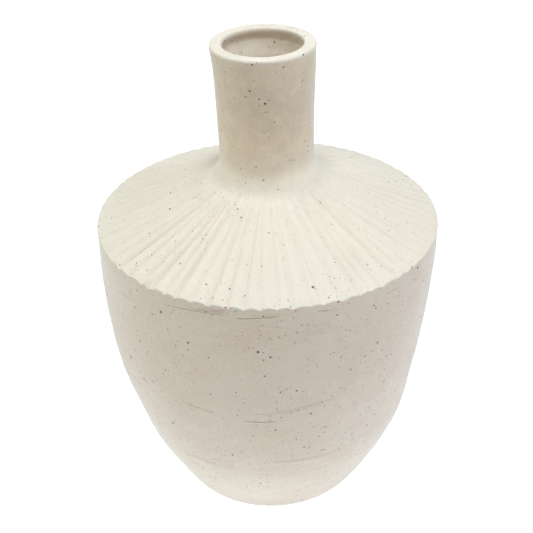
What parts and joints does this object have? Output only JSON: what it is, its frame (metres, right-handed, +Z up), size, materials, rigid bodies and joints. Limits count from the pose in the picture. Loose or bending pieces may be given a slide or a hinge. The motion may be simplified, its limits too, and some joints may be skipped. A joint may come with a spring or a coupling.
{
  "type": "stoneware vase",
  "caption": "Tall shouldered stoneware vase with a radially fluted cone shoulder, a slender open neck and a soft rounded lip, unglazed and iron-speckled.",
  "frame": {"origin": "centre of the foot, on the surface that the vase stands on", "axes": "+Z up along the axis of the neck and body; +X and +Y are any two square directions, since the vase is round"},
  "size_m": [0.224, 0.224, 0.321],
  "materials": {
    "stoneware": "matte unglazed cream stoneware with iron specks"
  },
  "bodies": {
    "root": {"floor_slab": "stoneware", "floor_seam_coil": "stoneware", "foot_wall": "stoneware", "belly_wall": "stoneware", "upper_wall": "stoneware", "shoulder_seam_coil": "stoneware", "shoulder_disc": "stoneware", "neck_seam_coil": "stoneware", "neck_tube": "stoneware", "lip_coil": "stoneware"}
  },
  "joints": []
}
